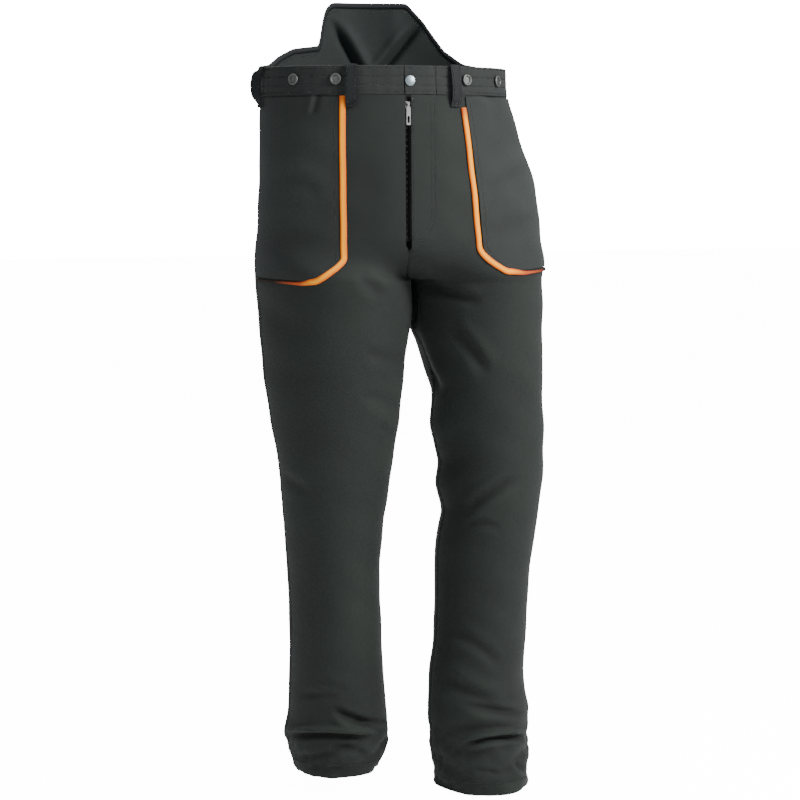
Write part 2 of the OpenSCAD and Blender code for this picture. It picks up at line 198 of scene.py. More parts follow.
def outward(s, f, u, v, at):
    """Outward normals of a surface function."""
    return s * f * unit(np.cross(at(u + .004, v) - at(u - .004, v), at(u, v + 1.5) - at(u, v - 1.5)))


# ---------------------------------------------------------------- folds
EYE = np.array(AIM + TO_CAMERA * DISTANCE) / MM
AXIS_IN = -np.array(TO_CAMERA)
AXIS_ACROSS = unit(np.cross(AXIS_IN, (0, 0, 1)))
AXIS_UP = np.cross(AXIS_ACROSS, AXIS_IN)


def seen(p, n):
    """Place of a point on the upright plane through the middle, and how much it faces the front."""
    ray = p - EYE
    deep = ray @ AXIS_IN
    share = DISTANCE / MM / deep
    facing = np.clip(-np.sum(unit(ray) * n, -1) * 2.2 + 0.25, 0, 1)
    return ray @ AXIS_ACROSS * share, ray @ AXIS_UP * share, facing


def ease(t):
    """Smooth step from 0 to 1."""
    t = np.clip(t, 0, 1)
    return t * t * (3 - 2 * t)


def bell(d):
    """Bell curve."""
    return np.exp(-d * d)


def crease(a, h, start, end, width, depth, bow=0.0, lips=(0.45, 0.45), taper=0.3):
    """A fold along a bowed line: a valley (or a ridge, when depth is negative) with a lip on each side."""
    start, end = np.array(start, float), np.array(end, float)
    run = end - start
    length = np.hypot(*run)
    run = run / length
    t = ((a - start[0]) * run[0] + (h - start[1]) * run[1]) / length
    inside = np.clip(t, 0, 1)
    d = -(a - start[0]) * run[1] + (h - start[1]) * run[0] - bow * 4 * inside * (1 - inside)
    along = ease(t / taper) * ease((1 - t) / taper)
    q = d / width
    return depth * along * (-bell(q) + lips[0] * bell((q - 1.8) / 1.2) + lips[1] * bell((q + 1.8) / 1.2))


# Folds that show from the front: side, start, end, width, depth, bow, lips.
# Places are across and up from the middle.
FRONT_FOLDS = [
    # right leg
    (RIGHT, (-66, 186), (-22, 146), 9, 3.0, 3, (.5, .5)),
    (RIGHT, (-58, 72), (10, 62), 9, 1.8, -4, (.5, .5)),
    (RIGHT, (-60, 6), (-2, -10), 9, 1.8, 4, (.5, .5)),
    (RIGHT, (-34, -34), (-6, -54), 7, 1.6, 0, (.5, .5)),
    (RIGHT, (-180, -108), (-132, -140), 8, 2.0, 3, (.5, .5)),
    (RIGHT, (-128, -408), (-70, -428), 7, 2.0, -4, (.4, .6)),
    (RIGHT, (-104, -452), (-14, -474), 6, 8.0, -9, (.2, .9)),
    (RIGHT, (-70, -470), (-22, -494), 4, 3.0, 3, (.5, .5)),
    (RIGHT, (-150, -434), (-84, -440), 6, 2.6, 3, (.5, .5)),
    (RIGHT, (-178, -494), (-36, -497), 4, 9.0, 3, (1.1, .1)),
    (RIGHT, (-160, -524), (-90, -520), 5, 3.2, -3, (.5, .4)),
    (RIGHT, (-100, -512), (-40, -526), 5, 3.6, 4, (.5, .3)),
    # left leg
    (LEFT, (17, 190), (18, 96), 7, 8.0, 3, (.1, .9)),
    (LEFT, (18, 112), (60, 6), 8, 8.0, -6, (.1, .9)),
    (LEFT, (16, 560), (78, 548), 5, 3.4, 3, (.5, .6)),
    (LEFT, (20, 488), (70, 468), 4, 2.4, 2, (.5, .5)),
    (LEFT, (72, 476), (150, 434), 8, 3.2, 5, (.5, .6)),
    (LEFT, (100, 466), (160, 450), 6, 2.4, -3, (.5, .5)),
    (LEFT, (26, 178), (124, 144), 8, 4.2, -5, (.6, .5)),
    (LEFT, (62, 118), (132, 32), 9, 4.0, 5, (.6, .6)),
    (LEFT, (90, -168), (176, -112), 7, 3.4, 4, (.5, .6)),
    (LEFT, (90, -184), (150, -188), 6, 2.6, 4, (.5, .4)),
    (LEFT, (62, -332), (154, -396), 8, 3.0, 5, (.5, .6)),
    (LEFT, (54, -398), (154, -452), 10, 4.6, -6, (.7, .6)),
    (LEFT, (84, -446), (190, -460), 6, 5.0, -4, (.5, .6)),
    (LEFT, (88, -507), (196, -496), 4, 9.5, 4, (1.1, .5)),
    (LEFT, (60, -478), (180, -486), 9, 3.4, -5, (.5, .5)),
    (LEFT, (98, -544), (152, -552), 4, 2.4, 3, (.5, .4)),
    (LEFT, (166, -530), (196, -560), 4, 3.0, 0, (.6, .6)),
    # hips
    (RIGHT, (-120, 456), (-130, 416), 4, 2.6, 2, (.1, .8)),
    (RIGHT, (-180, 330), (-110, 300), 12, 1.6, 4, (.5, .5)),
    (LEFT, (120, 300), (196, 350), 12, 1.8, 4, (.5, .5)),
    (LEFT, (124, 240), (200, 280), 12, 1.6, -4, (.5, .5)),
]
# Folds of the seat and the back of the legs: side, start, end, width, depth, bow. Places are x and height.
BACK_FOLDS = [
    (RIGHT, (-190, -250), (-20, -292), 12, 4.0, -10), (LEFT, (230, -250), (50, -294), 12, 4.0, 10),
    (RIGHT, (-170, -300), (0, -330), 10, 4.5, -8), (LEFT, (214, -300), (56, -332), 10, 4.5, 8),
    (RIGHT, (-160, -352), (-20, -368), 9, 3.0, -6), (LEFT, (212, -350), (70, -370), 9, 3.0, 6),
    (RIGHT, (-150, -568), (-14, -590), 9, 5.0, -8), (LEFT, (214, -566), (92, -592), 9, 5.0, 8),
    (RIGHT, (-150, -612), (-20, -600), 8, 4.2, 8), (LEFT, (214, -614), (92, -600), 8, 4.2, -8),
    (RIGHT, (-140, -644), (-24, -634), 8, 2.6, 5), (LEFT, (208, -646), (96, -632), 8, 2.6, -5),
    (RIGHT, (-130, -860), (-20, -876), 9, 3.0, -5), (LEFT, (190, -880), (74, -898), 9, 3.0, 5),
    (RIGHT, (-134, -936), (-10, -948), 7, 5.0, 6), (LEFT, (196, -950), (66, -966), 7, 5.0, -6),
    (RIGHT, (-136, -972), (-14, -966), 6, 5.0, -5), (LEFT, (196, -1000), (70, -990), 6, 5.0, 5),
]
# Pinches and bulges of the left leg's inner edge, by height on the facing plane: height, width, out
INNER_EDGE = [(18, 16, -4), (-35, 22, 5), (-90, 14, -3.5), (-122, 14, 3), (-160, 16, -4.5), (-215, 30, 2)]


def ripples(p, seed, length, amount):
    """Gentle irregular waves of the cloth, the same on every piece that meets."""
    chance = np.random.default_rng(seed)
    total = 0
    for _ in range(6):
        way = unit(chance.normal(size=3) * (1, 1, 1.3))
        phase, pace = chance.random() * 6.28, 0.7 + 0.6 * chance.random()
        total = total + np.sin(p @ way * (2 * np.pi / length * pace) + phase)
    return amount * total / 2.45


def relief(s, f, u, v, p, n):
    """How far the cloth stands off its body line, in millimetres."""
    a, h, facing = seen(p, n)
    rear = ease(n[..., 1] * 1.6)
    d = np.zeros_like(u)
    for side, start, end, width, depth, bow, lips in FRONT_FOLDS:
        if side == s:
            d = d + facing * crease(a, h, start, end, width, depth, bow, lips)
    for side, start, end, width, depth, bow in BACK_FOLDS:
        if side == s:
            d = d + rear * crease(p[..., 0], p[..., 2], start, end, width, depth, bow, taper=.35)
    if s == LEFT:
        inner = bell((1 - np.abs(u)) / .22)
        d = d + inner * sum(out * bell((h - height) / width) for height, width, out in INNER_EDGE)
        d = d + 4 * bell(u / .25) * bell((h + 450) / 16)
    fly = 1 - ease(1.5 - np.abs(p[..., 0] - mid_x(v)) / 40) * ease((v + 262) / 14) * (f == FRONT)
    calm = (0.15 + 0.85 * ease((-44 - v) / 45)) * fly
    d = d + calm * (ripples(p, 3, 170, 1.5) + ripples(p, 8, 62, .5))
    low = ease((-940 - v) / 50)
    d = d + low * (ripples(p, 21, 40, 1.9) + ripples(p, 5, 18, .6))
    # seams: a groove where two panels meet, a felled band beside it, and puckers
    girth = half_girth(s, v)
    side_seam = np.abs(u) * girth
    inseam = np.abs(1 - np.abs(u)) * girth
    stitched_middle = 1.0 if f == BACK else ease((-246 - v) / 10)
    for off, share in ((side_seam, 1.0), (inseam, stitched_middle)):
        pucker = np.sin(v / 2.3 + 1.7 * np.sin(v / 9)) * bell(off / 9) * .28
        band = .55 * ease((10.5 - off) / 1.5) * (1.0 if f == BACK else .25)
        d = d + share * (pucker + band - .9 * bell(off / 1.3))
    return d


def surface(s, f, u, v, off=0.0):
    """Points of the cloth at an offset from its outer face."""
    def bare(uu, vv):
        return skin(s, f, uu, vv)
    p = bare(u, v)
    n = outward(s, f, u, v, bare)
    sunk = 3.5 * ease((-880 - v) / 60) * (off < -2)  # hidden layers hang clear of the crumpled hems
    return p + n * (relief(s, f, u, v, p, n) + off - sunk)[..., None]


def seat_u(s, x, v):
    """u of the point of the seat at a given x."""
    cx, _, ex, _ = section(SEAT, v)
    return np.arccos(np.clip(s * (x - cx) / ex, -1, 1)) / seam_angle(s, cx, ex, v)


# ---------------------------------------------------------------- mesh building
class Cut:
    """Parts of one mesh: points and normals in millimetres, faces, a cloth map and a material number."""

    def __init__(self):
        self.points, self.normals, self.faces, self.map, self.stain, self.kinds = [], [], [], [], [], []
        self.count = 0

    def add(self, points, normals, faces, cloth_map, stain=None, kind=0):
        """Adds a closed part."""
        points = points.reshape(-1, 3)
        self.points.append(points)
        self.normals.append(unit(normals.reshape(-1, 3)))
        self.faces.append(np.asarray(faces) + self.count)
        self.map.append(np.broadcast_to(np.asarray(cloth_map, float).reshape(-1, 2), (len(points), 2)))
        self.stain.append(np.zeros(len(points)) if stain is None else np.asarray(stain, float).reshape(-1))
        self.kinds.append(np.full(len(faces), kind))
        self.count += len(points)

    def build(self, name, materials):
        """Makes the Blender object."""
        points, normals = np.concatenate(self.points) * MM, np.concatenate(self.normals)
        faces, spots = np.concatenate(self.faces), np.concatenate(self.map)
        mesh = bpy.data.meshes.new(name)
        mesh.vertices.add(len(points))
        mesh.vertices.foreach_set("co", points.astype(np.float32).ravel())
        mesh.loops.add(faces.size)
        mesh.loops.foreach_set("vertex_index", faces.astype(np.int32).ravel())
        mesh.polygons.add(len(faces))
        mesh.polygons.foreach_set("loop_start", np.arange(0, faces.size, 4, dtype=np.int32))
        mesh.polygons.foreach_set("material_index", np.concatenate(self.kinds).astype(np.int32))
        mesh.update(calc_edges=True)
        layer = mesh.uv_layers.new(name="cloth_map")
        layer.data.foreach_set("uv", (spots[faces.ravel()] * MM).astype(np.float32).ravel())
        # fold attribute: key for the painted highlight on fold ridges, the painted shade in fold hollows and
        # the painted shade of the piping's ends
        mesh.attributes.new("fold", "FLOAT", "POINT").data.foreach_set(
            "value", np.concatenate(self.stain).astype(np.float32))
        mesh.polygons.foreach_set("use_smooth", np.ones(len(faces), bool))
        mesh.normals_split_custom_set_from_vertices(normals.astype(np.float32))
        for material in materials:
            mesh.materials.append(material)
        made = bpy.data.objects.new(name, mesh)
        bpy.context.scene.collection.objects.link(made)
        return made


def grid_faces(rows, cols):
    """Quads of a closed shell whose outer grid comes first and its inner grid second."""
    k = rows * cols
    index = np.arange(k).reshape(rows, cols)
    a, b, c, d = index[:-1, :-1], index[:-1, 1:], index[1:, 1:], index[1:, :-1]
    faces = [np.stack([a, b, c, d], -1).reshape(-1, 4), np.stack([a, d, c, b], -1).reshape(-1, 4) + k]

    def rim(line):
        return np.stack([line[:-1], line[:-1] + k, line[1:] + k, line[1:]], -1)
    faces += [rim(index[0]), rim(index[-1])[:, ::-1], rim(index[:, 0])[:, ::-1], rim(index[:, -1])]
    return np.concatenate(faces)


def tube_faces(rows, cols):
    """Quads round a closed outline that is repeated along a path."""
    index = np.hstack([np.arange(rows * cols).reshape(rows, cols), np.arange(rows)[:, None] * cols])
    return np.stack([index[:-1, :-1], index[:-1, 1:], index[1:, 1:], index[1:, :-1]], -1).reshape(-1, 4)


def shell_part(cut, outer, inner, normals, cloth_map, stain=None):
    """Adds the closed shell between two grids, with its faces turned outwards."""
    rows, cols = outer.shape[:2]
    faces = grid_faces(rows, cols)
    r, c = min(rows // 2, rows - 2), min(cols // 2, cols - 2)
    turn = np.cross(outer[r, c + 1] - outer[r, c], outer[r + 1, c] - outer[r, c])
    if turn @ (outer[r, c] - inner[r, c]) < 0:
        faces = faces[:, ::-1]
    both = np.concatenate([outer.reshape(-1, 3), inner.reshape(-1, 3)])
    facing = np.concatenate([normals.reshape(-1, 3), -normals.reshape(-1, 3)])
    spots = np.concatenate([cloth_map.reshape(-1, 2)] * 2)
    marks = None if stain is None else np.concatenate([stain.ravel()] * 2)
    cut.add(both, facing, faces, spots, marks)


def grid_normals(points, outer_side):
    """Normals of a grid with a spare ring of points, by central differences, on the side of outer_side."""
    across = points[1:-1, 2:] - points[1:-1, :-2]
    down = points[2:, 1:-1] - points[:-2, 1:-1]
    n = unit(np.cross(across, down))
    return n * np.sign(np.sum(n * outer_side, -1, keepdims=True))


def rows_of(v0, v1, step=None):
    """Heights from v0 down to v1."""
    return np.linspace(v0, v1, max(3, int(abs(v1 - v0) / (step or GRID)) + 1))


def columns(width, step):
    """Shares across a panel, closer together beside its two seams."""
    edge = [0, 1.2, 2.4, 5, 8, 9.5, 11] if step < 6 else [0, 2.4, 9.5]
    if width < 3 * edge[-1]:
        return np.linspace(0, 1, max(3, int(width / step)))
    middle = np.linspace(edge[-1] + step, width - edge[-1] - step, max(2, int(width / step) - 8))
    return np.concatenate([edge, middle, width - np.array(edge[::-1])]) / width


def surface_grid(s, f, start_u, end_u, heights, share, off):
    """Grid of cloth points with a spare ring all round, and its u and v."""
    spare_v = np.concatenate([[heights[0] * 2 - heights[1]], heights, [heights[-1] * 2 - heights[-2]]])
    spare_s = np.concatenate([[share[0] * 2 - share[1]], share, [share[-1] * 2 - share[-2]]])
    a = start_u(spare_v) if callable(start_u) else np.full_like(spare_v, start_u)
    b = end_u(spare_v) if callable(end_u) else np.full_like(spare_v, end_u)
    u = a[:, None] + (b - a)[:, None] * spare_s[None]
    v = np.broadcast_to(spare_v[:, None], u.shape)
    return surface(s, f, u, v, off), u, v


def panel_part(cut, s, f, start_u, end_u, heights, off=0.0, thick=CLOTH, step=None):
    """Adds one cloth panel of a quarter and returns its cut size: width, length and area in metres."""
    step = step or GRID
    middle = np.array([np.mean(heights)])
    a = start_u(middle)[0] if callable(start_u) else start_u
    b = end_u(middle)[0] if callable(end_u) else end_u
    width = float(half_girth(s, middle)[0] * (b - a))
    share = columns(width, step)
    outer, u, v = surface_grid(s, f, start_u, end_u, heights, share, off)
    base = skin(s, f, u, v)
    side = outward(s, f, u[1:-1, 1:-1], v[1:-1, 1:-1], lambda uu, vv: skin(s, f, uu, vv))
    n = grid_normals(outer, side)
    face = outer[1:-1, 1:-1]
    # relief of the cloth, kept as the key for painted highlight and painted shade
    stain = np.sum((face - base[1:-1, 1:-1]) * side, -1) - off
    arc = np.cumsum(np.linalg.norm(np.diff(base[1:-1, 1:-1], axis=1), axis=-1), 1)
    arc = np.hstack([np.zeros((len(arc), 1)), arc])
    spots = np.stack([s * f * (arc + 1000), v[1:-1, 1:-1]], -1)
    shell_part(cut, face, face - n * thick, n, spots, stain)
    flat = base[1:-1, 1:-1]
    length = float(np.linalg.norm(np.diff(flat, axis=0), axis=-1).sum(0).max())
    return arc[:, -1].max() * MM, length * MM, grid_area(flat)


def trace(s, f, us, vs, off=0.0):
    """Points and outward normals of the cloth along a path of u and v."""
    def at(uu, vv):
        return surface(s, f, uu, vv, off)
    return at(us, vs), outward(s, f, us, vs, at)


def stitches(cut, points, normals, pitch=3.6, long=2.7, wide=.55, high=.4):
    """Adds a run of lock stitches, in the piece's second material, along a path on the cloth."""
    way = path_lengths(points)
    at = np.arange(pitch, way[-1] - pitch / 2, pitch)
    if len(at) < 2:
        return

    def on(values, where):
        return np.stack([np.interp(where, way, values[:, k]) for k in range(3)], -1)
    middle, n = on(points, at), unit(on(normals, at))
    ahead = unit(on(points, at + .6) - on(points, at - .6))
    aside = np.cross(n, ahead)
    corners = []
    for along, share in ((-.5, .35), (0, 1), (.5, .35)):
        for x, y in ((-1, -.6), (1, -.6), (.6, 1), (-.6, 1)):
            lift = y * high * share + (.1 if along == 0 else -.15)
            corners.append(middle + ahead * along * long + aside * x * wide * share / 2 * 1.6 + n * lift)
    corners = np.stack(corners, 1)
    sides = [(r * 4 + k, r * 4 + (k + 1) % 4, r * 4 + 4 + (k + 1) % 4, r * 4 + 4 + k)
             for r in (0, 1) for k in range(4)]
    one = np.array(sides + [(3, 2, 1, 0), (8, 9, 10, 11)])
    faces = (one[None] + 12 * np.arange(len(at))[:, None, None]).reshape(-1, 4)
    round_out = unit(corners - middle[:, None] + n[:, None] * .05)
    cut.add(corners, round_out, faces[:, ::-1], (0, 0), None, 1)


RIBBON_COLS = 9  # points across a rounded strip


def ribbon(cut, points, normals, half, low, high, stain):
    """Adds a rounded strip along a path: half is its half width, low and high its heights off the path."""
    ahead = unit(np.gradient(points, axis=0))
    aside = unit(np.cross(normals, ahead))
    half, low, high = (np.broadcast_to(x, len(points)) for x in (half, low, high))
    t = np.linspace(-1, 1, RIBBON_COLS)
    crown = np.sqrt(np.clip(1 - t ** 4, 0, 1))
    top = points[:, None] + aside[:, None] * (half[:, None] * t)[..., None] + \
        normals[:, None] * (low[:, None] + (high - low)[:, None] * (.12 + .88 * crown))[..., None]
    base = points[:, None] + aside[:, None] * (half[:, None] * t)[..., None] + \
        normals[:, None] * low[:, None, None]
    way = path_lengths(points)
    spots = np.stack(np.broadcast_arrays(t[None] * 4, way[:, None]), -1)
    n = unit(normals[:, None] * (.3 + crown[None, :, None]) + aside[:, None] * (t ** 3)[None, :, None])
    shell_part(cut, top, base, n, spots, stain)
    return way[-1]


def declare(made, body, nodes, area=None):
    """Parents a finished piece to the empty of the body it rides on, or bakes its transform when body is not
    a name, and hides the modelled nodes it stands for; the area it is cut to is not used.
    """
    if isinstance(body, str):
        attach(made, body)
    else:
        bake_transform(made)
    if nodes:
        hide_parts(*nodes)
    return made


# ---------------------------------------------------------------- materials
class Val:
    """A socket that takes part in arithmetic."""

    def __init__(self, finish, socket):
        self.finish, self.socket = finish, socket

    def _with(self, operation, a, b):
        return self.finish.value("ShaderNodeMath", {"operation": operation}, {0: a, 1: b})

    def __add__(self, other):
        return self._with("ADD", self, other)

    def __mul__(self, other):
        return self._with("MULTIPLY", self, other)

    __radd__, __rmul__ = __add__, __mul__


class Finish:
    """One material and its nodes."""

    def __init__(self, name, roughness=.8, metallic=0.0, sheen=0.0, specular=.5):
        self.material = bpy.data.materials.new(name)
        self.material.use_nodes = True
        self.tree = self.material.node_tree
        self.shader = self.tree.nodes["Principled BSDF"]
        for socket, number in (("Roughness", roughness), ("Metallic", metallic), ("Sheen Weight", sheen),
                               ("Specular IOR Level", specular)):
            self.shader.inputs[socket].default_value = number

    def put(self, socket, value):
        """Gives a socket a number, a colour or a link."""
        if isinstance(value, Val):
            self.tree.links.new(value.socket, socket)
        else:
            socket.default_value = value

    def node(self, kind, settings=(), inputs=()):
        """Adds a node: its settings first, then its sockets."""
        made = self.tree.nodes.new(kind)
        for key, value in dict(settings).items():
            setattr(made, key, value)
        for key, value in dict(inputs).items():
            self.put(made.inputs[key], value)
        return made

    def value(self, kind, settings=(), inputs=(), output=0):
        """Adds a node and returns one of its outputs."""
        return Val(self, self.node(kind, settings, inputs).outputs[output])

    def place(self, scale=(1, 1, 1)):
        """Position on the piece, scaled."""
        spot = self.value("ShaderNodeTexCoord", output=3)
        return self.value("ShaderNodeMapping", {}, {"Vector": spot, "Scale": scale})

    def cloth(self, scale=(1, 1, 1), turn=(0, 0, 0)):
        """Position along the cloth's own threads, in metres."""
        spot = self.value("ShaderNodeUVMap", {"uv_map": "cloth_map"})
        return self.value("ShaderNodeMapping", {}, {"Vector": spot, "Rotation": turn, "Scale": scale})

    def noise(self, where, scale, detail=2.0, rough=.5):
        """Noise from 0 to 1."""
        return self.value("ShaderNodeTexNoise", {}, {"Vector": where, "Scale": scale, "Detail": detail,
                                                     "Roughness": rough})

    def wave(self, where, scale, warp=0.0):
        """Sine bands from 0 to 1."""
        return self.value("ShaderNodeTexWave", {"wave_type": "BANDS", "bands_direction": "X"},
                          {"Vector": where, "Scale": scale, "Distortion": warp, "Detail": 1.0}, 1)

    def mix(self, share, a, b):
        """Mixes two colours."""
        return self.value("ShaderNodeMix", {"data_type": "RGBA"}, {0: share, 6: a, 7: b}, 2)

    def held(self, value, low, high):
        """A value scaled from low..high to 0..1 and kept there."""
        return self.value("ShaderNodeMapRange", {"clamp": True}, {0: value, 1: low, 2: high, 3: 0.0, 4: 1.0})

    def fold(self):
        """How far the cloth stands off its body line, and on the piping its painted shade towards the ends:
        the key for painted highlight and painted shade.
        """
        return self.value("ShaderNodeAttribute", {"attribute_name": "fold"}, {}, 2)

    def finish(self, colour, rough=None, height=None, strength=.3, distance=.0004):
        """Feeds the shader and returns the material."""
        self.put(self.shader.inputs["Base Color"], colour)
        if rough is not None:
            self.put(self.shader.inputs["Roughness"], rough)
        if height is not None:
            self.put(self.shader.inputs["Normal"], self.value(
                "ShaderNodeBump", {}, {"Strength": strength, "Distance": distance, "Height": height}))
        return self.material


def rgb(r, g, b):
    """A colour with full cover."""
    return (r, g, b, 1.0)


def twill(name, dark, light, sheen=.12, thread=.0011, speck=.5, specular=.3):
    """Fine twill: diagonal threads, uneven dye, a painted highlight on the ridges of folds and painted shade
    in their hollows.
    """
    m = Finish(name, roughness=.82, sheen=sheen, specular=specular)
    pitch = 1 / thread
    diagonal = m.wave(m.cloth((pitch, pitch, 1), (0, 0, math.radians(63))), .16, .25)
    weft = m.wave(m.cloth((pitch, pitch, 1), (0, 0, math.radians(90))), .3, .4)
    yarn = m.noise(m.cloth((pitch * .9, pitch * .5, 1)), 1.0, 2.0, .6)
    blotch = m.noise(m.place(), 9.0, 3.0, .55)
    fine = m.noise(m.place(), 120.0, 3.0, .6)
    # painted highlight: mask of the fold ridges, where the cloth stands off its body line
    ridge_highlight = m.held(m.fold(), .2, 4.0)
    # painted shade: mask of the fold hollows and seam grooves
    sunk = m.held(m.fold(), -.4, -5.0)
    tone = m.held(diagonal * .35 + yarn * speck + fine * .25 + blotch * .55, .35, 1.2)
    colour = m.mix(tone, rgb(*dark), rgb(*light))
    # painted highlight: fold ridges lightened
    colour = m.mix(ridge_highlight * (.2 + .5 * fine), colour, rgb(*[c * 1.9 for c in light]))
    # painted shade: fold hollows darkened
    colour = m.mix(sunk * .65, colour, rgb(*[c * .35 for c in dark]))
    rough = .74 + .12 * fine + .06 * ridge_highlight
    return m.finish(colour, rough, diagonal * .6 + weft * .25 + yarn * .5, .35, .0003)


def plain_weave(name, dark, light, thread=.0008, sheen=.05, rough_at=.85):
    """Smooth plain weave for linings, pocket bags and tapes."""
    m = Finish(name, roughness=rough_at, sheen=sheen, specular=.3)
    warp = m.wave(m.cloth((1 / thread, 1 / thread, 1)), .3)
    weft = m.wave(m.cloth((1 / thread, 1 / thread, 1), (0, 0, math.radians(90))), .3)
    soft = m.noise(m.place(), 30.0, 3.0)
    colour = m.mix(m.held(warp * .4 + weft * .4 + soft * .5, .2, 1.1), rgb(*dark), rgb(*light))
    return m.finish(colour, rough_at - .1 + .15 * soft, warp + weft, .3, .0002)


def fibre_pad(name):
    """Protective filling: long loose knitted fibres in many layers."""
    m = Finish(name, roughness=.95, sheen=.2, specular=.2)
    strand = m.noise(m.cloth((900, 60, 1)), 1.0, 4.0, .6)
    rib = m.wave(m.cloth((260, 260, 1)), .3, 1.0)
    colour = m.mix(m.held(strand * .8 + rib * .3, .2, 1.0), rgb(.55, .45, .16), rgb(.84, .76, .42))
    return m.finish(colour, .9 + .08 * strand, strand + rib * .6, .6, .0008)


def piping_cloth(name):
    """Bright piping: yellow on its crown, with painted shade in deep orange at its edges and painted shade in
    red and near-black towards its ends.
    """
    m = Finish(name, roughness=.6, specular=.15)
    spot = m.value("ShaderNodeSeparateXYZ", {}, {0: m.value("ShaderNodeUVMap", {"uv_map": "cloth_map"})})
    edge = m.value("ShaderNodeMath", {"operation": "ABSOLUTE"}, {0: spot}) * 250
    rib = m.wave(m.cloth((1, 900, 1), (0, 0, math.radians(90))), .3, .3)
    weave = m.noise(m.place(), 500.0, 2.0)
    end = m.held(m.fold(), 0.0, 1.0)
    # painted shade: the edges of the rounded strip darkened to deep orange
    colour = m.mix(m.held(edge, .2, .9), rgb(.95, .34, .0), rgb(.60, .065, .0))
    colour = m.mix(.25 * weave, colour, rgb(1.0, .46, .0))
    # painted shade: red towards the ends
    colour = m.mix(end * .85, colour, rgb(.30, .026, .016))
    # painted shade: near-black along the bottom run
    colour = m.mix(m.held(m.fold(), 1.0, 1.8), colour, rgb(.016, .009, .008))
    return m.finish(colour, .58 + .2 * weave, rib * .3 + weave, .3, .0003)


def thread_finish(name, dark, light):
    """Twisted sewing thread."""
    m = Finish(name, roughness=.55, sheen=.1, specular=.4)
    ply = m.noise(m.place((1, 1, 1.4)), 1400.0, 1.0)
    return m.finish(m.mix(ply, rgb(*dark), rgb(*light)), .5 + .2 * ply, ply, .3, .0002)


def metal(name, dark, light, rough, tarnish=.5):
    """Stamped metal, with patchy tarnish and fine scratches."""
    m = Finish(name, roughness=rough, metallic=1.0)
    haze = m.noise(m.place(), 260.0, 4.0, .6)
    scratch = m.noise(m.place((1, 8, 1)), 900.0, 2.0)
    colour = m.mix(m.held(haze * tarnish + scratch * .3, .1, .9), rgb(*light), rgb(*dark))
    return m.finish(colour, rough + .25 * haze, scratch * .5 + haze, .12, .0002)


OUTER = twill("outer_twill", (.0040, .0062, .0048), (.0108, .0142, .0120), .03)
POCKET = twill("pocket_twill", (.0062, .0084, .0072), (.0150, .0182, .0166), .04)
WAIST = twill("waistband_twill", (.0062, .0080, .0074), (.0150, .0175, .0165), .03)
DARK = twill("dark_twill", (.0036, .0062, .0056), (.0115, .0165, .0152), sheen=.02)
LOOP = twill("loop_twill", (.0022, .0034, .0038), (.0065, .0085, .0090), sheen=.02)
LINING = plain_weave("lining_weave", (.006, .0065, .0065), (.017, .018, .018))
BAG = plain_weave("pocket_bag_weave", (.012, .012, .012), (.03, .03, .029), .001)
TAPE = plain_weave("zip_tape_weave", (.006, .006, .006), (.018, .018, .018), .0012)
FIBRE = fibre_pad("pad_fibre")
PIPING = piping_cloth("piping_cloth")
THREAD = thread_finish("thread", (.008, .010, .009), (.026, .030, .028))
STUD = metal("stud_metal", (.12, .15, .16), (.36, .43, .45), .34)
BUTTON = metal("button_metal", (.025, .026, .024), (.16, .165, .16), .42)
ZIP = metal("zip_metal", (.08, .08, .078), (.24, .245, .24), .34)
# painted shade: near-black metal for the zip's teeth and stops, standing for the shadow in the fly's gap
ZIP_PAINTED_SHADE = metal("zip_metal_painted_shade", (.006, .006, .006), (.03, .03, .03), .45)


# ---------------------------------------------------------------- hardware that keeps its modelled shape
def finish_hardware():
    """Gives the metal nodes their finishes."""
    for nodes, material in (
        # teeth and stops in painted shade
        (("zip_teeth", "zip_stops"), ZIP_PAINTED_SHADE),
        (("zip_slider", "zip_puller"), ZIP),
        (("brace_buttons", "brace_button_tacks"), BUTTON),
        (("stud_cap", "stud_socket", "stud_base", "stud_post"), STUD),
    ):
        for name in nodes:
            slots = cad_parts[name].data.materials
            slots.clear()
            slots.append(material)


# ---------------------------------------------------------------- waistband
def band_point(angle, z, off):
    """Point of the waistband at an angle, a height and an offset."""
    cx, cy, ex, ey = section(SEAT, np.minimum(z, 9.9))
    a = np.radians(angle)
    return np.stack([cx + (ex + off) * np.cos(a), cy + (ey + off) * np.sin(a), z + 0 * a], -1)


BAND_LINES = (-3.2, -15.0, -27.0, -36.6)  # rows of stitching on the waistband
BAND_RADIUS = 158                         # mean radius of the waistband, for lengths along it


def band_profile():
    """Closed outline of the waistband's cross-section: offset and height, down the front and up the back."""
    down = np.linspace(-1.6, -BAND_H + 1, 26)
    sunk = sum(.45 * bell((down - z) / 1.6) for z in BAND_LINES)
    mid = (BAND_OUT + BAND_IN) / 2
    half = (BAND_OUT - BAND_IN) / 2
    over = np.linspace(0, np.pi, 7)
    out = [(BAND_OUT - d, z) for d, z in zip(sunk, down)]
    under = [(mid + half * math.cos(t), -BAND_H + 1 - math.sin(t)) for t in over]
    back = [(BAND_IN, z) for z in down[::-1][::3]]
    top = [(mid - half * math.cos(t), -1.6 + 1.6 * math.sin(t)) for t in over]
    return np.array(out + under[1:-1] + back + top[1:-1])


